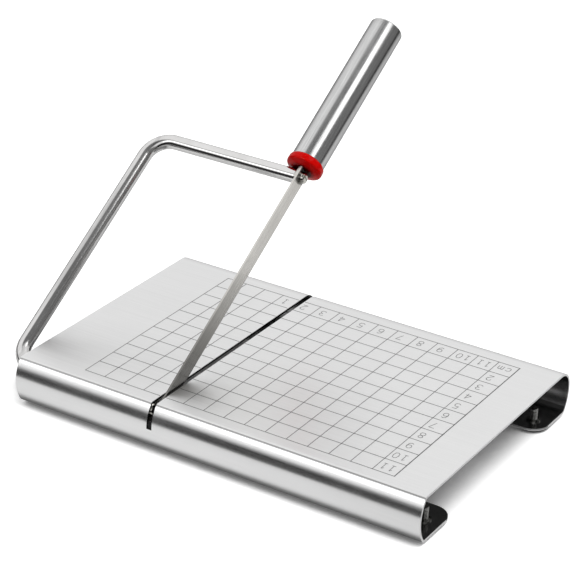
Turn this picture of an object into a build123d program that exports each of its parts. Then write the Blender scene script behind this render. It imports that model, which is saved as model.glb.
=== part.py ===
from build123d import *
from math import atan2, degrees, sqrt
import os

os.makedirs("parts", exist_ok=True)

# Millimetres. The origin is the middle of the board's cutting face.
# +X runs along the board, +Y from the hinge side to the far side, +Z up.

# Clearances, and how far a cut runs past what it cuts
overrun = 2.0
running_clearance = 0.05
fixed_clearance = 0.03
hole_clearance = 0.15
end_clearance = 0.1

# Board: one folded sheet, its two sides swelling out between a top fold and a lower fold.
# The top's fold is crisp along the hinge side and round along the far side.
board_length = 197.3
board_width = 134.4
board_height = 21.0
sheet = 1.0
side_swell = 3.8
near_fold_radius = 1.6
far_fold_radius = 9.0
lower_fold_radius = 2.4
near_flange_reach = 30.3
far_flange_reach = 26.7
flange_corner_radius = 8.0

# Slot for the blade, over the top and part of the way down both sides
slot_from_left = 69.5
slot_width = 2.5
slot_drop = 10.9

# Feet: a rubber pad moulded on a flat-headed stud, held by a push nut above the flange
foot_from_end = 7.5
foot_from_side = 18.3
foot_radius = 6.5
foot_height = 1.6
foot_edge_radius = 0.4
stud_radius = 1.75
stud_rise = 5.9
stud_tip = 0.4
stud_head_radius = 4.0
stud_head_height = 0.6
push_nut_radius = 3.2
push_nut_height = 0.9
push_nut_sheet = 0.4

# Bow: one bent rod, its lower leg the axle
rod_radius = 3.3
rod_bend_radius = 10.8
rod_end_chamfer = 0.3
bow_reach = 126.5
bow_side = 77.1
axle_from_side = 8.7
rest_angle = 33.5

# Hinge: a sleeve in a strip clip near each end of the axle, a thrust washer and an open ring
sleeve_wall = 1.25
sleeve_length = 12.0
clip_sheet = 1.2
clip_width = 10.0
clip_tail = 18.0
clip_bend_radius = 2.1
clip_gap = 0.1
thrust_washer_radius = 5.0
thrust_washer_thickness = 0.6
ring_thickness = 0.6
ring_radius = 4.8
ring_opening = 4.0
ring_from_end = 3.2
groove_depth = 0.6

# Blade: a strip screwed across both ends of the rod, cutting edge towards the board
blade_thickness = 0.8
blade_width = 8.2
blade_tail = 5.0
blade_tip = 6.0
blade_tip_slant = 3.5
blade_bevel = 1.0
blade_edge = 0.2

# Blade screws and their washers
screw_radius = 1.45
screw_length = 10.0
screw_head_radius = 2.6
screw_head_height = 1.9
screw_head_dome = 1.3
screw_slot_width = 0.7
screw_slot_depth = 0.8
washer_radius = 3.2
washer_thickness = 0.5

# Handle: a flat tang between rod and blade, a collar, a core, a cross pin and a closed tube
tang_thickness = 1.2
tang_width = 6.4
tang_length = 44.0
collar_radius = 8.5
collar_hub_radius = 4.5
collar_hub_height = 1.3
collar_rim_height = 3.6
collar_edge_radius = 1.2
collar_spigot = 4.0
handle_radius = 7.8
handle_wall = 1.0
handle_length = 78.8
handle_edge_radius = 0.7
core_length = 42.0
pin_radius = 1.5
pin_height = 24.0
pin_recess = 0.5

# Places that follow from the sizes above
side_y = board_width / 2
flange_top_z = sheet - board_height
slot_x = slot_from_left - board_length / 2
sleeve_bore = rod_radius + running_clearance
sleeve_radius = sleeve_bore + sleeve_wall
clip_inner_radius = sleeve_radius + fixed_clearance
clip_middle_radius = clip_inner_radius + clip_sheet / 2
axle_y = axle_from_side - side_y
axle_z = -sheet - clip_inner_radius - clip_sheet
blade_left_x = slot_x - blade_thickness / 2
blade_right_x = slot_x + blade_thickness / 2
top_leg_end_x = blade_left_x - tang_thickness
side_leg_x = slot_x - bow_side
thrust_washer_x = side_leg_x + rod_bend_radius + end_clearance
left_sleeve_x = thrust_washer_x + thrust_washer_thickness + end_clearance
ring_x = blade_left_x - ring_from_end
right_sleeve_x = ring_x - end_clearance - sleeve_length
groove_radius = rod_radius - groove_depth
washer_hole = screw_radius + hole_clearance
tapped_hole = screw_radius + fixed_clearance
handle_x = top_leg_end_x + tang_thickness / 2
collar_u = bow_reach + rod_radius
rim_u = collar_u + collar_hub_height
handle_u = rim_u + collar_rim_height
core_u = handle_u + collar_spigot
core_radius = handle_radius - handle_wall - fixed_clearance
pin_u = core_u + pin_height

# The bow is drawn lying flat: u, along +Y, is the distance from the axle, and the cutting edge
# is underneath. This lifts it about the axle to where it rests.
bow_place = Pos(0, axle_y, axle_z) * Rot(rest_angle, 0, 0)


def square_to_x(x, y=0, z=0):
    """A plane square to X, with local axes +Y and +Z."""
    return Plane(origin=(x, y, z), x_dir=(0, 1, 0), z_dir=(1, 0, 0))


def square_to_bow(u):
    """A plane square to the bow's reach, centred on the handle's axis."""
    return Plane(origin=(handle_x, u, 0), x_dir=(1, 0, 0), z_dir=(0, 1, 0))


def disc(plane, radius, height):
    return extrude(plane * Circle(radius), height)


def washer(plane, radius, hole, height):
    return extrude(plane * (Circle(radius) - Circle(hole)), height)


def foot_places():
    """Each foot's corner of the board and its place in plan."""
    foot_x = board_length / 2 - foot_from_end
    foot_y = side_y - foot_from_side
    places = {}
    for side, y in (("near", -foot_y), ("far", foot_y)):
        for end, x in (("left", -foot_x), ("right", foot_x)):
            places[f"{side}_{end}"] = (x, y)
    return places


def make_board():
    fold_y = side_y - side_swell
    lower_near = (-fold_y, -board_height)
    upper_near = (-fold_y, 0)
    upper_far = (fold_y, 0)
    lower_far = (fold_y, -board_height)
    middle_z = -board_height / 2
    outside = make_face(
        [
            ThreePointArc(lower_near, (-side_y, middle_z), upper_near),
            Line(upper_near, upper_far),
            ThreePointArc(upper_far, (side_y, middle_z), lower_far),
            Line(lower_far, lower_near),
        ]
    )
    outside = fillet(outside.vertices().group_by(Axis.Y)[0], lower_fold_radius)
    upper_corners = outside.vertices().group_by(Axis.Y)[-1].sort_by(Axis.X)
    outside = fillet(upper_corners[0], near_fold_radius)
    upper_corners = outside.vertices().group_by(Axis.Y)[-1].sort_by(Axis.X)
    outside = fillet(upper_corners[-1], far_fold_radius)
    inside = offset(outside, -sheet)
    near_flange_y = near_flange_reach - side_y
    far_flange_y = side_y - far_flange_reach
    mouth_middle = (near_flange_y + far_flange_y) / 2
    mouth_width = far_flange_y - near_flange_y
    mouth = Pos(mouth_middle, -board_height) * Rectangle(mouth_width, 2 * overrun)
    section = square_to_x(0) * (outside - inside - mouth)
    board = extrude(section, board_length / 2, both=True)
    corners = []
    for edge in board.edges().filter_by(Axis.Z):
        spot = edge.center()
        from_free_edge = min(abs(spot.Y - near_flange_y), abs(spot.Y - far_flange_y))
        if spot.Z < middle_z and from_free_edge < fixed_clearance:
            corners.append(edge)
    board = fillet(corners, flange_corner_radius)
    slot_height = slot_drop + overrun
    slot_length = board_width + 2 * overrun
    slot_middle_z = (overrun - slot_drop) / 2
    board -= Pos(slot_x, 0, slot_middle_z) * Box(slot_width, slot_length, slot_height)
    hole_height = sheet + 2 * overrun
    for x, y in foot_places().values():
        hole_plane = Plane((x, y, -board_height - overrun))
        board -= disc(hole_plane, stud_radius + hole_clearance, hole_height)
    return board


def make_foot_pad(x, y):
    pad = disc(Plane((x, y, -board_height - foot_height)), foot_radius, foot_height)
    pad = fillet(pad.edges().group_by(Axis.Z)[0], foot_edge_radius)
    pocket = Plane((x, y, -board_height - stud_head_height))
    return pad - disc(pocket, stud_head_radius + fixed_clearance, stud_head_height + overrun)


def make_foot_stud(x, y):
    base = Plane((x, y, -board_height - stud_head_height))
    shank = disc(base, stud_radius, stud_head_height + sheet + stud_rise)
    shank = chamfer(shank.edges().group_by(Axis.Z)[-1], stud_tip)
    return shank + disc(base, stud_head_radius, stud_head_height)


def make_push_nut(x, y):
    """A dished washer whose raised middle grips the stud."""
    bore = stud_radius + fixed_clearance
    half = Polyline(
        (bore, push_nut_height),
        (push_nut_radius, push_nut_sheet),
        (push_nut_radius, 0),
        (bore, push_nut_height - push_nut_sheet),
        close=True,
    )
    upright = Plane(origin=(x, y, flange_top_z), x_dir=(1, 0, 0), z_dir=(0, -1, 0))
    return revolve(upright * make_face(half), Axis((x, y, flange_top_z), (0, 0, 1)))


def make_clip(x):
    """A strip wrapped round a sleeve, its two tails lying together under the board's top."""
    tail_y = clip_tail
    upper_z = clip_middle_radius
    lower_z = upper_z - clip_sheet - clip_gap
    bend_z = lower_z - clip_bend_radius
    centres_apart = clip_middle_radius + clip_bend_radius
    bend_y = sqrt(centres_apart**2 - bend_z**2)
    meeting_angle = degrees(atan2(bend_z, bend_y))
    half_turn = 180
    quarter_turn = 90
    loop_sweep = 3 * quarter_turn + meeting_angle
    bend_sweep = -quarter_turn - meeting_angle
    upper_tail = Line((tail_y, upper_z), (0, upper_z))
    loop = CenterArc((0, 0), clip_middle_radius, quarter_turn, loop_sweep)
    bend = CenterArc((bend_y, bend_z), clip_bend_radius, half_turn + meeting_angle, bend_sweep)
    lower_tail = Line((bend_y, lower_z), (tail_y, lower_z))
    path = square_to_x(x, axle_y, axle_z) * Wire([upper_tail, loop, bend, lower_tail])
    start = Plane(
        origin=(x, axle_y + tail_y, axle_z + upper_z), x_dir=(1, 0, 0), z_dir=(0, -1, 0)
    )
    return sweep(start * Rectangle(clip_width, clip_sheet), path=path)


def make_sleeve(left_x):
    plane = square_to_x(left_x, axle_y, axle_z)
    return washer(plane, sleeve_radius, sleeve_bore, sleeve_length)


def make_thrust_washer():
    plane = square_to_x(thrust_washer_x, axle_y, axle_z)
    return washer(plane, thrust_washer_radius, sleeve_bore, thrust_washer_thickness)


def make_rod():
    path = FilletPolyline(
        (blade_left_x, 0),
        (side_leg_x, 0),
        (side_leg_x, bow_reach),
        (top_leg_end_x, bow_reach),
        radius=rod_bend_radius,
    )
    start = Plane(origin=(blade_left_x, 0, 0), x_dir=(0, 1, 0), z_dir=(-1, 0, 0))
    rod = sweep(start * Circle(rod_radius), path=path)
    ends = rod.faces().filter_by(GeomType.PLANE).edges()
    rod = chamfer(ends, rod_end_chamfer)
    groove_plane = square_to_x(ring_x - fixed_clearance)
    groove_width = ring_thickness + 2 * fixed_clearance
    rod -= washer(groove_plane, rod_radius + overrun, groove_radius, groove_width)
    for end_x, u in ((blade_left_x, 0), (top_leg_end_x, bow_reach)):
        rod -= disc(square_to_x(end_x - screw_length, u), tapped_hole, screw_length)
    return rod


def make_axle_ring():
    """An open ring in the axle's groove, which keeps the axle from sliding out to the left."""
    plane = square_to_x(ring_x)
    opening = Pos(ring_radius, 0) * Rectangle(2 * ring_radius, ring_opening)
    outline = Circle(ring_radius) - Circle(groove_radius + fixed_clearance) - opening
    return extrude(plane * outline, ring_thickness)


def make_blade():
    half = blade_thickness / 2
    edge = blade_edge / 2
    back = blade_width / 2
    tip_u = bow_reach + blade_tip
    bevel_z = blade_bevel - back
    section = Polyline(
        (-half, back), (half, back), (half, bevel_z), (edge, -back), (-edge, -back), (-half, bevel_z),
        close=True,
    )
    section_plane = Plane(origin=(slot_x, -blade_tail, 0), x_dir=(-1, 0, 0), z_dir=(0, 1, 0))
    strip = extrude(section_plane * make_face(section), blade_tail + tip_u)
    outline = Polyline(
        (-blade_tail, -back), (-blade_tail, back), (tip_u, back), (tip_u - blade_tip_slant, -back),
        close=True,
    )
    slab = extrude(square_to_x(blade_left_x) * make_face(outline), blade_thickness)
    blade = strip & slab
    for u in (0, bow_reach):
        blade -= disc(square_to_x(blade_left_x, u), washer_hole, blade_thickness)
    return blade


def make_blade_screw(u):
    head_x = blade_right_x + washer_thickness
    head = disc(square_to_x(head_x, u), screw_head_radius, screw_head_height)
    head = fillet(head.edges().group_by(Axis.X)[-1], screw_head_dome)
    slot_floor_x = head_x + screw_head_height - screw_slot_depth
    slot = Rectangle(screw_slot_width, 2 * screw_head_radius + overrun)
    head -= extrude(square_to_x(slot_floor_x, u) * slot, screw_slot_depth)
    return head + disc(square_to_x(head_x - screw_length, u), screw_radius, screw_length)


def make_blade_washer(u):
    return washer(square_to_x(blade_right_x, u), washer_radius, washer_hole, washer_thickness)


def make_tang():
    """A flat bar with round ends, from the top leg's end face up into the handle."""
    outline = Pos(bow_reach + tang_length / 2, 0) * SlotCenterToCenter(tang_length, tang_width)
    tang = extrude(square_to_x(top_leg_end_x) * outline, tang_thickness)
    for u, hole in ((bow_reach, washer_hole), (pin_u, pin_radius + fixed_clearance)):
        tang -= disc(square_to_x(top_leg_end_x, u), hole, tang_thickness)
    return tang


def tang_slot(plane, height):
    """The slot that the tang passes through, in a piece of the handle."""
    slot = Rectangle(tang_thickness + 2 * fixed_clearance, tang_width + 2 * hole_clearance)
    return extrude(plane * slot, height)


def make_collar():
    rim_height = collar_hub_height + collar_rim_height
    half = make_face(
        Polyline(
            (0, 0),
            (collar_hub_radius, 0),
            (collar_radius, collar_hub_height),
            (collar_radius, rim_height),
            (0, rim_height),
            close=True,
        )
    )
    rim = half.vertices().group_by(Axis.X)[-1]
    half = fillet(rim, collar_edge_radius)
    upright = Plane(origin=(handle_x, collar_u, 0), x_dir=(1, 0, 0), z_dir=(0, 0, 1))
    axis = Axis((handle_x, collar_u, 0), (0, 1, 0))
    collar = revolve(upright * half, axis)
    collar += disc(square_to_bow(handle_u), core_radius, collar_spigot)
    collar -= tang_slot(square_to_bow(collar_u), rim_height + collar_spigot)
    mouth_depth = bow_reach + blade_tip + hole_clearance - collar_u
    mouth_left_x = top_leg_end_x - fixed_clearance
    mouth_width = blade_right_x + hole_clearance - mouth_left_x
    mouth_plane = Plane(
        origin=(mouth_left_x + mouth_width / 2, collar_u, 0), x_dir=(1, 0, 0), z_dir=(0, 1, 0)
    )
    mouth = Rectangle(mouth_width, blade_width + 2 * hole_clearance)
    return collar - extrude(mouth_plane * mouth, mouth_depth)


def make_core():
    core = disc(square_to_bow(core_u), core_radius, core_length)
    slot_depth = bow_reach + tang_length + tang_width / 2 + hole_clearance - core_u
    core -= tang_slot(square_to_bow(core_u), slot_depth)
    pin_plane = square_to_x(handle_x - core_radius, pin_u)
    return core - disc(pin_plane, pin_radius + fixed_clearance, 2 * core_radius)


def make_pin():
    length = 2 * (core_radius - pin_recess)
    return disc(square_to_x(handle_x - length / 2, pin_u), pin_radius, length)


def make_handle_tube():
    tube = disc(square_to_bow(handle_u), handle_radius, handle_length)
    tube = fillet(tube.edges().group_by(Axis.Y)[-1], handle_edge_radius)
    bore_radius = handle_radius - handle_wall
    return tube - disc(square_to_bow(handle_u), bore_radius, handle_length - handle_wall)


def write(name, shape):
    shape.label = name
    export_step(shape, f"parts/{name}.step")


feet = foot_places()
write("board_sheet", make_board())
write("hinge_clip_left", make_clip(left_sleeve_x + sleeve_length / 2))
write("hinge_clip_right", make_clip(right_sleeve_x + sleeve_length / 2))
write("hinge_sleeve_left", make_sleeve(left_sleeve_x))
write("hinge_sleeve_right", make_sleeve(right_sleeve_x))
write("thrust_washer", make_thrust_washer())
for corner, place in feet.items():
    write(f"foot_pad_{corner}", make_foot_pad(*place))
write("foot_studs", Compound(children=[make_foot_stud(*place) for place in feet.values()]))
write("foot_push_nuts", Compound(children=[make_push_nut(*place) for place in feet.values()]))

write("bow_rod", bow_place * make_rod())
write("axle_ring", bow_place * make_axle_ring())
write("blade", bow_place * make_blade())
for end, u in (("lower", 0), ("upper", bow_reach)):
    write(f"blade_screw_{end}", bow_place * make_blade_screw(u))
    write(f"blade_washer_{end}", bow_place * make_blade_washer(u))
write("handle_tang", bow_place * make_tang())
write("handle_collar", bow_place * make_collar())
write("handle_core", bow_place * make_core())
write("handle_pin", bow_place * make_pin())
write("handle_tube", bow_place * make_handle_tube())
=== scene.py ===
import math

import bmesh
import bpy
from mathutils import Matrix, Vector


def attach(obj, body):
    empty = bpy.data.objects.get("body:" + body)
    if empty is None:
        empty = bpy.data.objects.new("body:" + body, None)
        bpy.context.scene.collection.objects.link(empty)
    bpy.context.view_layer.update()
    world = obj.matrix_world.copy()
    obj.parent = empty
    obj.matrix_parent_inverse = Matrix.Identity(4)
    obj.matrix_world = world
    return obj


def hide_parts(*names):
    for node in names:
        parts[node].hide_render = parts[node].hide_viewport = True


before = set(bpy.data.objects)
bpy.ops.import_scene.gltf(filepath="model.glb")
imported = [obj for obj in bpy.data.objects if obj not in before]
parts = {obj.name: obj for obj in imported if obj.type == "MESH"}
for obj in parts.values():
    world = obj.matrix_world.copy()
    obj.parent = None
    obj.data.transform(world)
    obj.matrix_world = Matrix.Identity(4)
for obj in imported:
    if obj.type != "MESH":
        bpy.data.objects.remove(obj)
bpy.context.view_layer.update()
millimetre = 0.001
print("stage: frame loaded")


# camera, at the viewing angle of the photograph
cameraSetup = {
    "place": (0.42345, -0.7165, 0.4427),
    "azimuth": 30.89,
    "elevation": 26.05,
    "roll": 2.34,
    "lens": 137.5,
    "sensor": 36.0,
    "reach": 50.0,
}


def makeCamera(setup):
    turn = math.radians(setup["azimuth"])
    tilt = math.radians(setup["elevation"])
    roll = math.radians(setup["roll"])
    forward = Vector((-math.sin(turn) * math.cos(tilt), math.cos(turn) * math.cos(tilt), -math.sin(tilt)))
    levelRight = Vector((math.cos(turn), math.sin(turn), 0))
    levelUp = Vector((-math.sin(turn) * math.sin(tilt), math.cos(turn) * math.sin(tilt), math.cos(tilt)))
    right = math.cos(roll) * levelRight + math.sin(roll) * levelUp
    up = math.cos(roll) * levelUp - math.sin(roll) * levelRight
    facing = Matrix((right, up, -forward)).transposed().to_4x4()
    lensData = bpy.data.cameras.new("camera")
    lensData.lens = setup["lens"]
    lensData.sensor_width = setup["sensor"]
    lensData.clip_end = setup["reach"]
    cameraObject = bpy.data.objects.new("camera", lensData)
    cameraObject.matrix_world = Matrix.Translation(setup["place"]) @ facing
    bpy.context.scene.collection.objects.link(cameraObject)
    bpy.context.scene.camera = cameraObject


makeCamera(cameraSetup)
print("stage: camera")


# small helpers for node trees
def addNode(tree, kind, **settings):
    node = tree.nodes.new(kind)
    for name, value in settings.items():
        setattr(node, name, value)
    return node


def join(tree, source, target):
    tree.links.new(source, target)


def feed(tree, target, value):
    # joins a socket to the target, or sets the target to a constant
    if isinstance(value, bpy.types.NodeSocket):
        join(tree, value, target)
    elif target.type == "RGBA":
        target.default_value = (*value, 1)
    else:
        target.default_value = value


def mathNode(tree, operation, first, second=None):
    node = addNode(tree, "ShaderNodeMath", operation=operation)
    feed(tree, node.inputs[0], first)
    if second is not None:
        feed(tree, node.inputs[1], second)
    return node.outputs[0]


def product(tree, first, *others):
    for other in others:
        first = mathNode(tree, "MULTIPLY", first, other)
    return first


def vectorNode(tree, operation, first, second):
    node = addNode(tree, "ShaderNodeVectorMath", operation=operation)
    feed(tree, node.inputs[0], first)
    feed(tree, node.inputs[1], second)
    return node.outputs["Value" if operation in ("DOT_PRODUCT", "DISTANCE") else "Vector"]


def splitNode(tree, vector):
    node = addNode(tree, "ShaderNodeSeparateXYZ")
    join(tree, vector, node.inputs[0])
    return node.outputs


def turned(tree, place, angle, axis="X_AXIS", centre=(0, 0, 0)):
    node = addNode(tree, "ShaderNodeVectorRotate", rotation_type=axis)
    for label, value in (("Vector", place), ("Angle", angle), ("Center", centre)):
        feed(tree, node.inputs[label], value)
    return node.outputs["Vector"]


def noiseNode(tree, place, **settings):
    node = addNode(tree, "ShaderNodeTexNoise")
    join(tree, place, node.inputs["Vector"])
    for label, value in settings.items():
        feed(tree, node.inputs[label], value)
    return node.outputs["Fac"]


def rampNode(tree, value, stops):
    node = addNode(tree, "ShaderNodeValToRGB")
    ramp = node.color_ramp
    while len(ramp.elements) < len(stops):
        ramp.elements.new(0.5)
    for element, (place, shade) in zip(ramp.elements, stops):
        element.position = place
        element.color = (shade, shade, shade, 1)
    join(tree, value, node.inputs["Fac"])
    return node.outputs["Color"]


def spread(tree, value, low, high, newLow, newHigh):
    node = addNode(tree, "ShaderNodeMapRange", interpolation_type="SMOOTHSTEP")
    join(tree, value, node.inputs["Value"])
    for label, number in (("From Min", low), ("From Max", high), ("To Min", newLow), ("To Max", newHigh)):
        node.inputs[label].default_value = number
    return node.outputs["Result"]


def rise(tree, value, low, high):
    return spread(tree, value, low, high, 0.0, 1.0)


def fall(tree, value, low, high):
    return spread(tree, value, low, high, 1.0, 0.0)


def mixColour(tree, factor, first, second, blend="MIX"):
    node = addNode(tree, "ShaderNodeMix", data_type="RGBA", blend_type=blend)
    for socket, value in ((node.inputs[0], factor), (node.inputs[6], first), (node.inputs[7], second)):
        feed(tree, socket, value)
    return node.outputs[2]


def darken(tree, colour, shade):
    return mixColour(tree, 1.0, colour, shade, "MULTIPLY")


def newGroup(name, inputs, outputs):
    tree = bpy.data.node_groups.new(name, "ShaderNodeTree")
    for label, kind in inputs:
        tree.interface.new_socket(name=label, in_out="INPUT", socket_type="NodeSocket" + kind)
    for label, kind in outputs:
        tree.interface.new_socket(name=label, in_out="OUTPUT", socket_type="NodeSocket" + kind)
    return tree, tree.nodes.new("NodeGroupInput"), tree.nodes.new("NodeGroupOutput")


def placeGroup(tree, group, **values):
    node = addNode(tree, "ShaderNodeGroup", node_tree=group)
    for label, value in values.items():
        feed(tree, node.inputs[label], value)
    return node


# grain: fine lines that run one way, from a very stretched noise
grainShape = {
    "fine": {"Scale": 1.0, "Detail": 4.0, "Roughness": 0.65},
    "fineShare": 0.62,
    "broad": {"Scale": 0.23, "Detail": 2.0},
    "broadShare": 0.38,
    "range": (0.32, 0.68),
}


def makeGrainGroup(shape):
    tree, given, out = newGroup(
        "brushedGrain",
        [("Vector", "Vector"), ("Stretch", "Vector")],
        [("Shade", "Float"), ("Height", "Float")],
    )
    stretched = vectorNode(tree, "MULTIPLY", given.outputs["Vector"], given.outputs["Stretch"])
    fine = product(tree, noiseNode(tree, stretched, **shape["fine"]), shape["fineShare"])
    broad = product(tree, noiseNode(tree, stretched, **shape["broad"]), shape["broadShare"])
    both = mathNode(tree, "ADD", fine, broad)
    join(tree, rise(tree, both, *shape["range"]), out.inputs["Shade"])
    join(tree, both, out.inputs["Height"])
    return tree


# smudges: soft patches where hands and cloths have dulled a surface
smudgeShape = {"noise": {"Detail": 5.0, "Roughness": 0.6, "Distortion": 0.6}, "range": (0.38, 0.68)}


def makeSmudgeGroup(shape):
    tree, given, out = newGroup(
        "handSmudges",
        [("Vector", "Vector"), ("Scale", "Float")],
        [("Patch", "Float")],
    )
    cloud = noiseNode(tree, given.outputs["Vector"], Scale=given.outputs["Scale"], **shape["noise"])
    join(tree, rise(tree, cloud, *shape["range"]), out.inputs["Patch"])
    return tree


# scratches: short thin marks, few and faint
scratchShape = {
    "stretch": (0.035, 1.0, 1.0),
    "noise": {"Detail": 2.0, "Distortion": 0.3},
    "range": (0.68, 0.74),
}


def makeScratchGroup(shape):
    tree, given, out = newGroup(
        "fineScratches",
        [("Vector", "Vector"), ("Scale", "Float"), ("Turn", "Float")],
        [("Mark", "Float")],
    )
    along = turned(tree, given.outputs["Vector"], given.outputs["Turn"], "Z_AXIS")
    stretched = vectorNode(tree, "MULTIPLY", along, shape["stretch"])
    thin = noiseNode(tree, stretched, Scale=given.outputs["Scale"], **shape["noise"])
    join(tree, rise(tree, thin, *shape["range"]), out.inputs["Mark"])
    return tree


# wear: a mask along outside edges, where the finish is rubbed bright
edgeShape = {"samples": 4, "range": (0.995, 0.85)}


def makeEdgeGroup(shape):
    tree, given, out = newGroup("edgeWear", [("Radius", "Float")], [("Edge", "Float")])
    rounded = addNode(tree, "ShaderNodeBevel", samples=shape["samples"])
    join(tree, given.outputs["Radius"], rounded.inputs["Radius"])
    surface = addNode(tree, "ShaderNodeNewGeometry")
    facing = vectorNode(tree, "DOT_PRODUCT", rounded.outputs["Normal"], surface.outputs["Normal"])
    join(tree, rise(tree, facing, *shape["range"]), out.inputs["Edge"])
    return tree


# dots: a fine even pebble, for moulded rubber and plastic
pebbleShape = {"noise": {"Scale": 220.0, "Detail": 3.0}}


def makePebbleGroup(shape):
    tree, given, out = newGroup(
        "mouldedPebble",
        [("Vector", "Vector"), ("Scale", "Float")],
        [("Height", "Float"), ("Shade", "Float")],
    )
    cells = addNode(tree, "ShaderNodeTexVoronoi", feature="SMOOTH_F1")
    join(tree, given.outputs["Vector"], cells.inputs["Vector"])
    join(tree, given.outputs["Scale"], cells.inputs["Scale"])
    join(tree, cells.outputs["Distance"], out.inputs["Height"])
    join(tree, noiseNode(tree, given.outputs["Vector"], **shape["noise"]), out.inputs["Shade"])
    return tree


grainGroup = makeGrainGroup(grainShape)
smudgeGroup = makeSmudgeGroup(smudgeShape)
scratchGroup = makeScratchGroup(scratchShape)
edgeGroup = makeEdgeGroup(edgeShape)
pebbleGroup = makePebbleGroup(pebbleShape)
print("stage: shared surface effects")


def newMaterial(name):
    material = bpy.data.materials.new(name)
    material.use_nodes = True
    tree = material.node_tree
    tree.nodes.clear()
    shader = tree.nodes.new("ShaderNodeBsdfPrincipled")
    end = tree.nodes.new("ShaderNodeOutputMaterial")
    join(tree, shader.outputs["BSDF"], end.inputs["Surface"])
    place = tree.nodes.new("ShaderNodeTexCoord").outputs["Object"]
    return material, tree, shader, place


def bumpFrom(tree, shader, height, distance):
    bump = addNode(tree, "ShaderNodeBump")
    bump.inputs["Strength"].default_value = 1.0
    bump.inputs["Distance"].default_value = distance
    join(tree, height, bump.inputs["Height"])
    join(tree, bump.outputs["Normal"], shader.inputs["Normal"])


def inBand(tree, value, middle, half, soft):
    away = mathNode(tree, "ABSOLUTE", mathNode(tree, "SUBTRACT", value, middle))
    return fall(tree, away, half - soft, half + soft)


def fromAxis(tree, sideways, upward):
    squares = mathNode(tree, "ADD", product(tree, sideways, sideways), product(tree, upward, upward))
    return mathNode(tree, "SQRT", squares)


# the bow stands at its rest angle about the axle, so grain and marks on it are turned back level
bowAngle = math.radians(33.5)
axlePlace = (0, -0.0585, -0.00683)


def placeOnBow(tree, place):
    # metres across, out from the axle and up from the bow's own plane
    level = turned(tree, place, -bowAngle, centre=axlePlace)
    return vectorNode(tree, "SUBTRACT", level, axlePlace)


# the board's painted shade and its finish, in millimetres: painted shade makes its inside darker than the
# brushed outside and darkest off the far wall, its cut edges are sheared and duller, the slot's cut faces
# are darkened as painted shade, a fine dark line of painted shade runs along the near fold, and painted
# shade darkens the outside towards the lower folds
boardShadeAndRoughness = {
    "arcCentre": (50.79, -10.5),
    "innerRadius": 15.47,
    "farFoldCentre": (58.05, -9.0),
    "farFoldInner": 8.35,
    "insideTop": -0.96,
    "insideBottom": -20.06,
    "insideSoft": 0.06,
    "insideShade": 0.95,
    "endFace": (98.6, 98.64),
    "wallTop": (-7.0, -5.5),
    "wallBottom": (-18.2, -17.8),
    "offWallShade": 0.38,
    "edgeFromMiddle": 54.0,
    "edgeHeight": -20.5,
    "edgeHalf": 0.47,
    "edgeSoft": 0.02,
    "edgeRough": 0.28,
    "slotX": -29.15,
    "slotHalf": 1.28,
    "slotSoft": 0.02,
    "slotEnd": -10.93,
    "slotShade": 0.03,
    "foldY": -64.0,
    "foldHalf": 0.45,
    "foldSoft": 0.2,
    "foldShade": 0.45,
    "flat": (-0.9, -0.1),
    "flatRough": 0.12,
    "lowFold": (-20.4, -14.2),
    "lowFoldShade": 0.38,
    "underside": (-20.9, -20.6),
    "undersideShare": 0.3,
}


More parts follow.
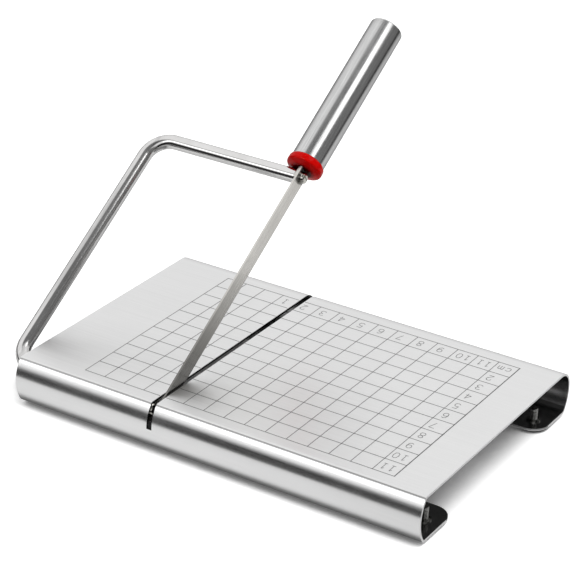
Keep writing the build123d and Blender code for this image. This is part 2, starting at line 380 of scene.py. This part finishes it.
def addBoardShadeAndRoughness(tree, place, colour, rough):
    marks = boardShadeAndRoughness
    soft = marks["insideSoft"]
    x, y, z = [mathNode(tree, "DIVIDE", output, millimetre) for output in splitNode(tree, place)]
    across = mathNode(tree, "ABSOLUTE", y)
    centreY, centreZ = marks["arcCentre"]
    pastCentre = mathNode(tree, "MAXIMUM", mathNode(tree, "SUBTRACT", across, centreY), 0.0)
    arc = fromAxis(tree, pastCentre, mathNode(tree, "SUBTRACT", z, centreZ))
    foldY, foldZ = marks["farFoldCentre"]
    pastFold = mathNode(tree, "MAXIMUM", mathNode(tree, "SUBTRACT", y, foldY), 0.0)
    aboveFold = mathNode(tree, "MAXIMUM", mathNode(tree, "SUBTRACT", z, foldZ), 0.0)
    farFold = fromAxis(tree, pastFold, aboveFold)
    endFace = rise(tree, mathNode(tree, "ABSOLUTE", x), *marks["endFace"])
    inside = product(
        tree,
        fall(tree, arc, marks["innerRadius"], marks["innerRadius"] + soft),
        fall(tree, farFold, marks["farFoldInner"], marks["farFoldInner"] + soft),
        fall(tree, z, marks["insideTop"], marks["insideTop"] + soft),
        rise(tree, z, marks["insideBottom"], marks["insideBottom"] + soft),
        mathNode(tree, "SUBTRACT", 1.0, endFace),
    )
    farWall = product(
        tree,
        fall(tree, z, *marks["wallTop"]),
        rise(tree, z, *marks["wallBottom"]),
        mathNode(tree, "GREATER_THAN", y, 0.0),
    )
    cut = product(
        tree,
        inBand(tree, x, marks["slotX"], marks["slotHalf"], marks["slotSoft"]),
        mathNode(tree, "GREATER_THAN", z, marks["slotEnd"]),
    )
    nearFold = product(
        tree,
        inBand(tree, y, marks["foldY"], marks["foldHalf"], marks["foldSoft"]),
        mathNode(tree, "GREATER_THAN", z, marks["insideTop"]),
    )
    lowFold = product(
        tree,
        fall(tree, z, *marks["lowFold"]),
        mathNode(tree, "SUBTRACT", 1.0, mathNode(tree, "MAXIMUM", inside, endFace)),
        spread(tree, z, *marks["underside"], marks["undersideShare"], 1.0),
    )
    # painted shade: each cover below darkens the colour by its own shade
    covers = {
        "insideShade": inside,
        "offWallShade": product(tree, inside, mathNode(tree, "SUBTRACT", 1.0, farWall)),
        "foldShade": nearFold,
        "slotShade": cut,
        "lowFoldShade": lowFold,
    }
    for label, cover in covers.items():
        colour = darken(tree, colour, spread(tree, cover, 0.0, 1.0, 1.0, marks[label]))
    freeEdge = product(
        tree,
        inBand(tree, z, marks["edgeHeight"], marks["edgeHalf"], marks["edgeSoft"]),
        mathNode(tree, "LESS_THAN", across, marks["edgeFromMiddle"]),
    )
    cutEdge = product(tree, mathNode(tree, "MAXIMUM", freeEdge, endFace), marks["edgeRough"])
    flat = spread(tree, z, *marks["flat"], 0.0, marks["flatRough"])
    return colour, mathNode(tree, "ADD", mathNode(tree, "ADD", rough, flat), cutEdge)


# the side leg of the rod is duller than the rest, with faint streaks along it
rodMarks = {
    "sideLeg": (-0.1035, -0.0990),
    "dullness": 0.10,
    "streaks": (420.0, 14.0, 420.0),
    "noise": {"Scale": 1.0, "Detail": 3.0},
    "range": (0.40, 0.60),
    "streakShade": 0.78,
}


def addRodMarks(tree, place, colour, rough):
    marks = rodMarks
    onBow = placeOnBow(tree, place)
    side = fall(tree, splitNode(tree, onBow)["X"], *marks["sideLeg"])
    cloud = noiseNode(tree, vectorNode(tree, "MULTIPLY", onBow, marks["streaks"]), **marks["noise"])
    streak = spread(tree, cloud, *marks["range"], marks["streakShade"], 1.0)
    colour = mixColour(tree, side, colour, darken(tree, colour, streak))
    return colour, mathNode(tree, "ADD", rough, product(tree, side, marks["dullness"]))


# painted shade: the blade darkens towards the board, for the darker board it reflects there
bladeShade = {"span": (0.015, 0.078), "shade": 0.30}


def addBladeShade(tree, place, colour, rough):
    outward = splitNode(tree, placeOnBow(tree, place))["Y"]
    return darken(tree, colour, spread(tree, outward, *bladeShade["span"], bladeShade["shade"], 1.0)), rough


# fine turned rings near the closed end of the handle
handleMarks = {"span": (0.2085, 0.2125), "pitch": 0.0007, "shade": 0.80}


def addHandleMarks(tree, place, colour, rough):
    outward = splitNode(tree, placeOnBow(tree, place))["Y"]
    wave = mathNode(tree, "SINE", product(tree, outward, 2 * math.pi / handleMarks["pitch"]))
    ring = product(tree, wave, rise(tree, outward, *handleMarks["span"]))
    return darken(tree, colour, spread(tree, ring, 0.0, 1.0, 1.0, handleMarks["shade"])), rough


# brushed or polished steel, all from one recipe with its own numbers
def makeSteel(name, look):
    material, tree, shader, place = newMaterial(name)
    shader.inputs["Metallic"].default_value = 1.0
    shader.inputs["Specular Tint"].default_value = (*look["rim"], 1)
    grainPlace = turned(tree, place, look["turn"])
    grain = placeGroup(tree, grainGroup, Vector=grainPlace, Stretch=look["stretch"])
    smudge = placeGroup(tree, smudgeGroup, Vector=place, Scale=look["smudgeScale"]).outputs["Patch"]
    scratch = placeGroup(
        tree, scratchGroup, Vector=grainPlace, Scale=look["scratchScale"], Turn=look["scratchTurn"]
    ).outputs["Mark"]
    edge = placeGroup(tree, edgeGroup, Radius=look["edgeRadius"]).outputs["Edge"]
    colour = mixColour(tree, grain.outputs["Shade"], look["dark"], look["light"])
    colour = mixColour(tree, product(tree, smudge, look["smudgeDark"]), colour, look["dark"])
    colour = mixColour(tree, product(tree, edge, look["edgeBright"]), colour, look["edge"])
    colour = mixColour(tree, product(tree, scratch, look["scratchDark"]), colour, look["dark"])
    grainRough = product(tree, grain.outputs["Shade"], look["grainRough"])
    smudgeRough = product(tree, smudge, look["smudgeRough"])
    rough = mathNode(tree, "ADD", mathNode(tree, "ADD", grainRough, smudgeRough), look["rough"])
    # the marks can paint shade into the colour as well as add real marks
    if "marks" in look:
        colour, rough = look["marks"](tree, place, colour, rough)
    join(tree, colour, shader.inputs["Base Color"])
    join(tree, rough, shader.inputs["Roughness"])
    bumpFrom(tree, shader, grain.outputs["Height"], look["depth"])
    return material


boardLook = {
    "turn": 0.0,
    "stretch": (30, 4200, 4200),
    "dark": (0.75, 0.75, 0.75),
    "light": (0.80, 0.80, 0.80),
    "edge": (0.88, 0.88, 0.88),
    "rim": (0.85, 0.85, 0.85),
    "edgeRadius": 0.0004,
    "edgeBright": 0.4,
    "smudgeScale": 22.0,
    "smudgeDark": 0.15,
    "smudgeRough": 0.04,
    "scratchScale": 900.0,
    "scratchTurn": 0.15,
    "scratchDark": 0.12,
    "rough": 0.17,
    "grainRough": 0.05,
    "marks": addBoardShadeAndRoughness,
    "depth": 0.000002,
}

handleLook = {
    "turn": -bowAngle,
    "stretch": (3600, 50, 3600),
    "dark": (0.52, 0.52, 0.52),
    "light": (0.70, 0.70, 0.70),
    "edge": (0.80, 0.80, 0.80),
    "rim": (0.42, 0.42, 0.42),
    "edgeRadius": 0.0005,
    "edgeBright": 0.4,
    "smudgeScale": 60.0,
    "smudgeDark": 0.25,
    "smudgeRough": 0.05,
    "scratchScale": 1100.0,
    "scratchTurn": 1.5,
    "scratchDark": 0.15,
    "rough": 0.15,
    "grainRough": 0.07,
    "marks": addHandleMarks,
    "depth": 0.000003,
}

bladeLook = {
    "turn": -bowAngle,
    "stretch": (900, 40, 2400),
    "dark": (0.57, 0.555, 0.525),
    "light": (0.73, 0.715, 0.68),
    "edge": (0.80, 0.785, 0.75),
    "rim": (0.80, 0.80, 0.80),
    "edgeRadius": 0.0003,
    "edgeBright": 0.6,
    "smudgeScale": 60.0,
    "smudgeDark": 0.3,
    "smudgeRough": 0.05,
    "scratchScale": 1300.0,
    "scratchTurn": 0.5,
    "scratchDark": 0.2,
    "rough": 0.22,
    "grainRough": 0.1,
    "marks": addBladeShade,
    "depth": 0.000004,
}

rodLook = {
    "turn": -bowAngle,
    "stretch": (160, 160, 160),
    "dark": (0.66, 0.655, 0.65),
    "light": (0.74, 0.735, 0.73),
    "edge": (0.80, 0.80, 0.79),
    "rim": (0.70, 0.70, 0.70),
    "edgeRadius": 0.0003,
    "edgeBright": 0.3,
    "smudgeScale": 55.0,
    "smudgeDark": 0.15,
    "smudgeRough": 0.04,
    "scratchScale": 1500.0,
    "scratchTurn": 0.9,
    "scratchDark": 0.12,
    "rough": 0.045,
    "grainRough": 0.02,
    "marks": addRodMarks,
    "depth": 0.000004,
}

fastenerLook = {
    "turn": 0.0,
    "stretch": (1400, 1400, 1400),
    "dark": (0.50, 0.49, 0.45),
    "light": (0.68, 0.67, 0.63),
    "edge": (0.86, 0.85, 0.82),
    "rim": (0.60, 0.60, 0.60),
    "edgeRadius": 0.0002,
    "edgeBright": 0.5,
    "smudgeScale": 300.0,
    "smudgeDark": 0.3,
    "smudgeRough": 0.03,
    "scratchScale": 2600.0,
    "scratchTurn": 0.7,
    "scratchDark": 0.2,
    "rough": 0.03,
    "grainRough": 0.02,
    "depth": 0.000002,
}

darkFastenerLook = dict(
    fastenerLook,
    dark=(0.20, 0.20, 0.19),
    light=(0.34, 0.34, 0.33),
    edge=(0.5, 0.5, 0.49),
    rough=0.16,
)

clipLook = {
    "turn": 0.0,
    "stretch": (700, 2200, 2200),
    "dark": (0.40, 0.40, 0.40),
    "light": (0.56, 0.56, 0.55),
    "edge": (0.70, 0.70, 0.70),
    "rim": (0.80, 0.80, 0.80),
    "edgeRadius": 0.0003,
    "edgeBright": 0.5,
    "smudgeScale": 120.0,
    "smudgeDark": 0.4,
    "smudgeRough": 0.1,
    "scratchScale": 1600.0,
    "scratchTurn": 0.2,
    "scratchDark": 0.2,
    "rough": 0.3,
    "grainRough": 0.12,
    "depth": 0.000005,
}


# painted shade: the collar darkens round the slot where the tang goes in, a circle about the handle's axis
collarShade = {"axisX": -0.03015, "span": (0.0036, 0.0066), "shade": 0.10}


def addCollarShade(tree, place, colour):
    onBow = splitNode(tree, placeOnBow(tree, place))
    radius = fromAxis(tree, mathNode(tree, "SUBTRACT", onBow["X"], collarShade["axisX"]), onBow["Z"])
    return darken(tree, colour, spread(tree, radius, *collarShade["span"], collarShade["shade"], 1.0))


# moulded plastics and rubber
def makeMoulded(name, look):
    material, tree, shader, place = newMaterial(name)
    pebble = placeGroup(tree, pebbleGroup, Vector=place, Scale=look["pebbleScale"])
    smudge = placeGroup(tree, smudgeGroup, Vector=place, Scale=look["smudgeScale"]).outputs["Patch"]
    edge = placeGroup(tree, edgeGroup, Radius=look["edgeRadius"]).outputs["Edge"]
    colour = mixColour(tree, pebble.outputs["Shade"], look["dark"], look["light"])
    colour = mixColour(tree, product(tree, edge, look["edgeBright"]), colour, look["edge"])
    # the marks can paint shade into the colour
    if "marks" in look:
        colour = look["marks"](tree, place, colour)
    join(tree, colour, shader.inputs["Base Color"])
    rough = mathNode(tree, "ADD", product(tree, smudge, look["smudgeRough"]), look["rough"])
    join(tree, rough, shader.inputs["Roughness"])
    bumpFrom(tree, shader, pebble.outputs["Height"], look["depth"])
    shader.inputs["IOR"].default_value = look["index"]
    return material


mouldedLook = {
    "pebbleScale": 900.0,
    "smudgeScale": 160.0,
    "edgeRadius": 0.0004,
    "edgeBright": 0.35,
    "smudgeRough": 0.03,
    "depth": 0.000001,
    "index": 1.5,
}

collarLook = dict(
    mouldedLook,
    dark=(0.56, 0.0015, 0.001),
    light=(0.68, 0.003, 0.002),
    edge=(0.84, 0.010, 0.006),
    rough=0.04,
    index=1.17,
    marks=addCollarShade,
)

coreLook = dict(
    mouldedLook,
    dark=(0.08, 0.08, 0.08),
    light=(0.11, 0.11, 0.11),
    edge=(0.16, 0.16, 0.16),
    rough=0.42,
)

nylonLook = dict(
    mouldedLook,
    dark=(0.60, 0.59, 0.54),
    light=(0.70, 0.69, 0.64),
    edge=(0.78, 0.77, 0.72),
    rough=0.38,
)

rubberLook = {
    "dark": (0.022, 0.022, 0.022),
    "light": (0.038, 0.038, 0.038),
    "edge": (0.075, 0.075, 0.075),
    "pebbleScale": 2200.0,
    "smudgeScale": 180.0,
    "edgeRadius": 0.0005,
    "edgeBright": 0.6,
    "rough": 0.62,
    "smudgeRough": 0.18,
    "depth": 0.00002,
    "index": 1.5,
}

finishes = {
    "board_steel": makeSteel("board_steel_brushed", boardLook),
    "clip_steel": makeSteel("clip_steel_plain", clipLook),
    "sleeve_nylon": makeMoulded("sleeve_nylon_natural", nylonLook),
    "fastener_steel": makeSteel("fastener_steel_plated", fastenerLook),
    "foot_rubber": makeMoulded("foot_rubber_black", rubberLook),
    "rod_chrome": makeSteel("rod_polished", rodLook),
    "blade_steel": makeSteel("blade_steel_satin", bladeLook),
    "collar_plastic": makeMoulded("collar_plastic_red", collarLook),
    "core_plastic": makeMoulded("core_plastic_black", coreLook),
    "handle_steel": makeSteel("handle_steel_satin", handleLook),
}
darkFastenerSteel = makeSteel("stud_steel_dark", darkFastenerLook)
# the push nuts take the darker steel, and the two washers by the blade screw take it as painted shade round
# the screw head
darkFasteners = ("foot_push_nuts", "blade_washer_upper", "blade_washer_lower")

for part in parts.values():
    for seat in part.material_slots:
        seat.material = finishes[seat.material.name]
for name in darkFasteners:
    parts[name].material_slots[0].material = darkFastenerSteel
print("stage: finishes on the packed parts")


def meshObject(name, builder, material):
    mesh = bpy.data.meshes.new(name)
    work = bmesh.new()
    builder(work)
    work.to_mesh(mesh)
    work.free()
    mesh.materials.append(material)
    made = bpy.data.objects.new(name, mesh)
    bpy.context.scene.collection.objects.link(made)
    return made


def newPiece(name, builder, material, body):
    def closedSkin(work):
        builder(work)
        bmesh.ops.recalc_face_normals(work, faces=work.faces)

    piece = meshObject(name, closedSkin, material)
    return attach(piece, body)


# etched lines: the steel is dulled and darker where it was etched
etchLook = {
    "dark": (0.10, 0.10, 0.10),
    "light": (0.20, 0.20, 0.20),
    "noise": {"Scale": 1800.0, "Detail": 4.0},
    "metal": 0.6,
    "rough": 0.5,
    "roughSpread": 0.2,
    "depth": 0.000004,
}


def makeEtch(look):
    material, tree, shader, place = newMaterial("etched_lines")
    cloud = noiseNode(tree, place, **look["noise"])
    join(tree, mixColour(tree, cloud, look["dark"], look["light"]), shader.inputs["Base Color"])
    rough = mathNode(tree, "ADD", product(tree, cloud, look["roughSpread"]), look["rough"])
    join(tree, rough, shader.inputs["Roughness"])
    shader.inputs["Metallic"].default_value = look["metal"]
    bumpFrom(tree, shader, cloud, look["depth"])
    return material


# etched centimetre grid with its numbers, read from the far side of the board
gridLook = {
    "corner": (-0.06915, -0.0570),
    "cell": 0.010,
    "columns": 15,
    "rows": 11,
    "slotLine": 4,
    "slotHalf": 0.0016,
    "lineAcross": 0.00030,
    "lineAlong": 0.00034,
    "borderRight": 0.00046,
    "lift": 0.00001,
    "height": 0.000015,
    "digitHeight": 0.0044,
    "digitWidth": 0.0025,
    "digitPitch": 0.0036,
    "stroke": 0.00026,
    "sideShift": {1: 0.0033, 2: 0.0044},
    "sideUp": 0.0046,
    "farShift": {1: 0.0038, 2: 0.0050},
    "farUp": 0.0050,
    "cornerShift": 0.0047,
    "cornerUp": 0.0052,
}

# each digit is a few strokes in a box one wide and one high
digitStrokes = {
    "0": [
        [(0.5, 1), (0.16, 0.88), (0.04, 0.5), (0.16, 0.12), (0.5, 0), (0.84, 0.12), (0.96, 0.5),
         (0.84, 0.88), (0.5, 1)],
    ],
    "1": [
        [(0.18, 0.8), (0.5, 1), (0.5, 0)],
        [(0.2, 0), (0.8, 0)],
    ],
    "2": [
        [(0.05, 0.76), (0.2, 0.95), (0.5, 1), (0.82, 0.93), (0.93, 0.72), (0.8, 0.48), (0.05, 0), (0.97, 0)],
    ],
    "3": [
        [(0.06, 0.86), (0.3, 1), (0.7, 0.98), (0.9, 0.76), (0.72, 0.56), (0.42, 0.53)],
        [(0.42, 0.53), (0.8, 0.46), (0.95, 0.24), (0.76, 0.03), (0.32, 0), (0.04, 0.14)],
    ],
    "4": [
        [(0.72, 0), (0.72, 1), (0.03, 0.3), (0.98, 0.3)],
    ],
    "5": [
        [(0.9, 1), (0.18, 1), (0.12, 0.56), (0.5, 0.63), (0.86, 0.5), (0.94, 0.26), (0.78, 0.04),
         (0.36, 0), (0.05, 0.12)],
    ],
    "6": [
        [(0.84, 0.9), (0.5, 1), (0.16, 0.82), (0.05, 0.4), (0.16, 0.08), (0.5, 0), (0.84, 0.08),
         (0.95, 0.3), (0.82, 0.54), (0.5, 0.6), (0.16, 0.5), (0.06, 0.34)],
    ],
    "7": [
        [(0.04, 1), (0.96, 1), (0.36, 0)],
    ],
    "8": [
        [(0.5, 0.54), (0.18, 0.66), (0.12, 0.84), (0.3, 0.98), (0.5, 1), (0.7, 0.98), (0.88, 0.84),
         (0.82, 0.66), (0.5, 0.54), (0.12, 0.4), (0.05, 0.2), (0.22, 0.03), (0.5, 0), (0.78, 0.03),
         (0.95, 0.2), (0.88, 0.4), (0.5, 0.54)],
    ],
    "9": [
        [(0.16, 0.1), (0.5, 0), (0.84, 0.18), (0.95, 0.6), (0.84, 0.92), (0.5, 1), (0.16, 0.92),
         (0.05, 0.7), (0.18, 0.46), (0.5, 0.4), (0.84, 0.5), (0.94, 0.66)],
    ],
    "c": [
        [(0.92, 0.58), (0.55, 0.68), (0.18, 0.58), (0.05, 0.33), (0.18, 0.08), (0.55, 0), (0.92, 0.1)],
    ],
    "m": [
        [(0.02, 0), (0.02, 0.66)],
        [(0.02, 0.5), (0.24, 0.68), (0.46, 0.56), (0.48, 0)],
        [(0.48, 0.5), (0.7, 0.68), (0.94, 0.56), (0.96, 0)],
    ],
}


def addRibbon(work, start, end, width):
    # one thin slab from start to end, standing just proud of the sheet
    run = Vector(end) - Vector(start)
    side = Vector((-run.y, run.x)).normalized() * width / 2
    tip = run.normalized() * width / 4
    corners = [
        Vector(start) - tip - side,
        Vector(end) + tip - side,
        Vector(end) + tip + side,
        Vector(start) - tip + side,
    ]
    top = gridLook["lift"] + gridLook["height"]
    low = [work.verts.new((corner.x, corner.y, gridLook["lift"])) for corner in corners]
    high = [work.verts.new((corner.x, corner.y, top)) for corner in corners]
    work.faces.new(low)
    work.faces.new(high)
    for i in range(len(corners)):
        j = (i + 1) % len(corners)
        work.faces.new((low[i], low[j], high[j], high[i]))


def addText(work, text, column, row, shift, up):
    # the first digit lies towards +X, and each digit stands on its head as seen from the hinge side
    left, near = gridLook["corner"]
    centreX = left + column * gridLook["cell"] + shift
    centreY = near + row * gridLook["cell"] + up
    for i, digit in enumerate(text):
        digitX = centreX + ((len(text) - 1) / 2 - i) * gridLook["digitPitch"]
        for stroke in digitStrokes[digit]:
            places = []
            for across, upward in stroke:
                x = digitX - (across - 0.5) * gridLook["digitWidth"]
                y = centreY - (upward - 0.5) * gridLook["digitHeight"]
                places.append((x, y))
            for start, end in zip(places, places[1:]):
                addRibbon(work, start, end, gridLook["stroke"])


def buildGrid(work):
    look = gridLook
    left, near = look["corner"]
    cell = look["cell"]
    right = left + look["columns"] * cell
    far = near + look["rows"] * cell
    slotX = left + look["slotLine"] * cell
    for i in range(look["columns"] + 1):
        if i == look["slotLine"]:
            continue
        x = left + i * cell
        width = look["borderRight"] if i == look["columns"] else look["lineAcross"]
        addRibbon(work, (x, near), (x, far), width)
    for i in range(look["rows"] + 1):
        y = near + i * cell
        addRibbon(work, (left, y), (slotX - look["slotHalf"], y), look["lineAlong"])
        addRibbon(work, (slotX + look["slotHalf"], y), (right, y), look["lineAlong"])


def buildNumbers(work):
    look = gridLook
    lastColumn = look["columns"] - 1
    lastRow = look["rows"] - 1
    for i in range(lastRow):
        number = str(look["rows"] - i)
        addText(work, number, lastColumn, i, look["sideShift"][len(number)], look["sideUp"])
    for i in range(look["rows"]):
        number = str(look["rows"] - i)
        addText(work, number, lastColumn - 1 - i, lastRow, look["farShift"][len(number)], look["farUp"])
    addText(work, "cm", lastColumn, lastRow, look["cornerShift"], look["cornerUp"])


etchedSteel = makeEtch(etchLook)
newPiece("etched_grid", buildGrid, etchedSteel, "board")
newPiece("etched_numbers", buildNumbers, etchedSteel, "board")
print("stage: etched grid and numbers")


# foot studs with a rolled thread, in place of the plain ones, in millimetres
studLook = {
    "places": [(-91.15, -48.9), (91.15, -48.9), (-91.15, 48.9), (91.15, 48.9)],
    "bottom": -21.6,
    "bottomBevel": (0.15, 0.12),
    "headTop": -21.0,
    "headRadius": 4.0,
    "neck": (0.02, 0.01),
    "crest": 1.75,
    "root": 1.4,
    "threadStart": -20.2,
    "threadEnd": -14.6,
    "threadFade": 0.6,
    "pitch": 0.7,
    "top": -14.1,
    "topBevel": (0.1, 0.25),
    "topInset": 0.4,
    "around": 36,
    "perTurn": 10,
}


def addRings(work, centre, rings, around):
    # joins rings, each a radius and height for every share of a turn, into one closed skin
    loops = []
    for ring in rings:
        loop = []
        for i in range(around):
            angle = 2 * math.pi * i / around
            radius, height = ring(i / around)
            x = centre[0] + radius * math.cos(angle)
            y = centre[1] + radius * math.sin(angle)
            loop.append(work.verts.new((x * millimetre, y * millimetre, height * millimetre)))
        loops.append(loop)
    for lower, upper in zip(loops, loops[1:]):
        for i in range(around):
            j = (i + 1) % around
            face = work.faces.new((lower[i], lower[j], upper[j], upper[i]))
            face.smooth = True
    work.faces.new(loops[0])
    work.faces.new(loops[-1])


def plainRing(radius, height):
    return lambda share: (radius, height)


def threadRing(height, look):
    fromStart = height - look["threadStart"]
    toEnd = look["threadEnd"] - height
    fade = max(0.0, min(1.0, fromStart / look["threadFade"], toEnd / look["threadFade"]))
    depth = (look["crest"] - look["root"]) * fade

    def ring(share):
        phase = (fromStart / look["pitch"] - share) % 1.0
        return look["crest"] - depth * abs(2 * phase - 1), height

    return ring


def buildStuds(work):
    look = studLook
    count = int((look["threadEnd"] - look["threadStart"]) / look["pitch"] * look["perTurn"])
    step = (look["threadEnd"] - look["threadStart"]) / count
    bevelIn, bevelUp = look["bottomBevel"]
    neckLow, neckHigh = look["neck"]
    tipIn, tipDown = look["topBevel"]
    rings = [
        plainRing(look["headRadius"] - bevelIn, look["bottom"]),
        plainRing(look["headRadius"], look["bottom"] + bevelUp),
        plainRing(look["headRadius"], look["headTop"] - neckLow),
        plainRing(look["crest"], look["headTop"] - neckHigh),
    ]
    rings += [threadRing(look["threadStart"] + step * i, look) for i in range(count + 1)]
    rings += [
        plainRing(look["crest"] - tipIn, look["top"] - tipDown),
        plainRing(look["crest"] - look["topInset"], look["top"]),
    ]
    for place in look["places"]:
        addRings(work, place, rings, look["around"])


studs = newPiece("foot_studs_threaded", buildStuds, darkFastenerSteel, "board")
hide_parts("foot_studs")
print("stage: foot studs")


# floor, lamps and the room that the steel reflects
floorLook = {
    "height": -0.0226,
    "radius": 5.0,
    "cells": 8,
    "rough": 0.9,
    "colour": 0.84,
    "steelGlow": 0.12,
    "cameraColour": 0.98,
    "cameraGlow": 0.50,
    "contactSamples": 8,
    "contactReach": 0.06,
    "contactOpen": (0.17, 0.58),
    "farSpan": (0.6, 2.0),
    "farGlow": 0.5,
    "frontEdge": (-0.130, -0.116),
    "tableMiddle": (-0.45, 0.25, 0.0),
    "backEdge": (0.50, 1.15),
    "beyondShade": 0.08,
}


def seenInSteel(tree, path):
    return mathNode(tree, "MAXIMUM", path.outputs["Is Glossy Ray"], path.outputs["Is Transmission Ray"])


def makeFloorMaterial(look):
    material, tree, shader, place = newMaterial("floor_white")
    shader.inputs["Roughness"].default_value = look["rough"]
    shader.inputs["Specular IOR Level"].default_value = 0.0
    shader.inputs["Emission Strength"].default_value = 1.0
    path = tree.nodes.new("ShaderNodeLightPath")
    inSteel = seenInSteel(tree, path)
    toCamera = path.outputs["Is Camera Ray"]
    spot = addNode(tree, "ShaderNodeNewGeometry").outputs["Position"]
    distance = vectorNode(tree, "DISTANCE", spot, look["tableMiddle"])
    # steel shows a pale table with a darker room beyond its front and back edges
    front = spread(tree, splitNode(tree, spot)["Y"], *look["frontEdge"], look["beyondShade"], 1.0)
    back = spread(tree, distance, *look["backEdge"], 1.0, look["beyondShade"])
    table = product(tree, front, back)
    plain = mixColour(tree, inSteel, (look["colour"],) * 3, product(tree, table, look["colour"]))
    colour = mixColour(tree, toCamera, plain, (look["cameraColour"],) * 3)
    join(tree, colour, shader.inputs["Base Color"])
    # the floor is blown out to white except close under the board, where the contact shadow stays
    nearby = addNode(tree, "ShaderNodeAmbientOcclusion", samples=look["contactSamples"])
    nearby.inputs["Distance"].default_value = look["contactReach"]
    openGlow = spread(tree, nearby.outputs["AO"], *look["contactOpen"], 0.0, look["cameraGlow"])
    farGlow = spread(tree, distance, *look["farSpan"], 0.0, look["farGlow"])
    steelGlow = product(tree, table, look["steelGlow"], inSteel)
    glow = mixColour(tree, toCamera, steelGlow, mathNode(tree, "ADD", openGlow, farGlow))
    join(tree, glow, shader.inputs["Emission Color"])
    return material


def buildFloor(work):
    cells = floorLook["cells"]
    bmesh.ops.create_grid(work, x_segments=cells, y_segments=cells, size=floorLook["radius"])
    bmesh.ops.translate(work, verts=work.verts, vec=(0, 0, floorLook["height"]))


floor = meshObject("floor", buildFloor, makeFloorMaterial(floorLook))

# dull surfaces get an even level from all round, and steel sees the room by direction, where each shape has
# its spans along x, y or z, and its shade
roomLook = {
    "level": 0.25,
    "heights": [
        (0.0, 0.5),
        (0.49, 0.04),
        (0.51, 0.02),
        (0.56, 0.05),
        (0.60, 0.45),
        (0.635, 1.0),
        (0.80, 1.05),
        (1.0, 1.05),
    ],
    "ceiling": {"x": (-0.42, -0.08), "y": (-0.06, 0.08), "z": (0.55, 0.72), "shade": 0.20},
    "strip": {"y": (-0.56, -0.46), "z": (0.55, 0.60), "shade": 0.60},
    "right": {"x": (0.62, 0.74), "z": (-0.12, 0.10), "shades": (0.06, 0.22)},
    "behind": {"x": (0.0, 0.3), "y": (0.25, 0.55), "z": (-0.3, -0.1), "light": 0.85},
}


def makeRoom(look):
    world = bpy.data.worlds.new("room")
    bpy.context.scene.world = world
    world.use_nodes = True
    tree = world.node_tree
    tree.nodes.clear()
    end = tree.nodes.new("ShaderNodeOutputWorld")
    x, y, z = splitNode(tree, tree.nodes.new("ShaderNodeTexCoord").outputs["Generated"])
    halfHeight = mathNode(tree, "ADD", product(tree, z, 0.5), 0.5)
    walls = rampNode(tree, halfHeight, look["heights"])
    # the middle of the ceiling is darker than the soft boxes at its sides
    shape = look["ceiling"]
    ceiling = product(
        tree,
        rise(tree, x, *shape["x"]),
        rise(tree, z, *shape["z"]),
        fall(tree, y, *shape["y"]),
    )
    ceiling = spread(tree, ceiling, 0.0, 1.0, 1.0, shape["shade"])
    # a dimmer strip of wall stands above the window at the front
    shape = look["strip"]
    strip = product(tree, fall(tree, y, *shape["y"]), rise(tree, z, *shape["z"]))
    strip = spread(tree, strip, 0.0, 1.0, 1.0, shape["shade"])
    seen = darken(tree, walls, product(tree, ceiling, strip))
    # the right side is dark, and darker still below
    shape = look["right"]
    seen = mixColour(tree, rise(tree, x, *shape["x"]), seen, spread(tree, z, *shape["z"], *shape["shades"]))
    # a pale wall stands behind on the left
    shape = look["behind"]
    behind = product(
        tree,
        spread(tree, y, *shape["y"], 0.0, shape["light"]),
        rise(tree, z, *shape["z"]),
        fall(tree, x, *shape["x"]),
    )
    seen = mixColour(tree, 1.0, seen, behind, "LIGHTEN")
    path = tree.nodes.new("ShaderNodeLightPath")
    room = mixColour(tree, seenInSteel(tree, path), (look["level"],) * 3, seen)
    colour = mixColour(tree, path.outputs["Is Camera Ray"], room, (1.0, 1.0, 1.0))
    background = tree.nodes.new("ShaderNodeBackground")
    join(tree, colour, background.inputs["Color"])
    join(tree, background.outputs[0], end.inputs["Surface"])


makeRoom(roomLook)

# one large soft box overhead lights the scene, and the other lamps only show as reflections
lampLooks = {
    "overhead_soft_box": {
        "place": (0.75, -0.40, 2.6),
        "aim": (0, 0, 0),
        "size": (1.6, 1.6),
        "watts": 58.0,
        "reflected": False,
    },
    "front_window": {
        "place": (-0.69, -1.11, 0.70),
        "aim": (0, 0, 0),
        "size": (1.6, 0.26),
        "watts": 1.8,
        "reflected": True,
    },
    "handle_strip": {
        "place": (0.245, 0.085, 0.52),
        "aim": (-0.03, 0.09, 0.09),
        "size": (0.14, 0.24),
        "watts": 0.19,
        "reflected": True,
    },
    "collar_strip": {
        "place": (-0.022, -0.557, 0.5855),
        "aim": (-0.030, 0.051, 0.0655),
        "size": (1.4, 0.03),
        "watts": 4.0,
        "reflected": True,
        "only": "handle_collar",
    },
}


def makeLamp(name, look):
    data = bpy.data.lights.new(name, "AREA")
    data.shape = "RECTANGLE"
    data.size, data.size_y = look["size"]
    data.energy = look["watts"]
    lamp = bpy.data.objects.new(name, data)
    way = Vector(look["place"]) - Vector(look["aim"])
    lamp.location = look["place"]
    lamp.rotation_euler = way.to_track_quat("Z", "Y").to_euler()
    lamp.visible_camera = False
    lamp.visible_diffuse = not look["reflected"]
    lamp.visible_glossy = look["reflected"]
    bpy.context.scene.collection.objects.link(lamp)
    if "only" in look:
        lit = bpy.data.collections.new(name + "_receivers")
        lit.objects.link(parts[look["only"]])
        lamp.light_linking.receiver_collection = lit


for lampName, lampLook in lampLooks.items():
    makeLamp(lampName, lampLook)
print("stage: floor, room and lamps")


bpy.context.scene.view_settings.view_transform = "Standard"
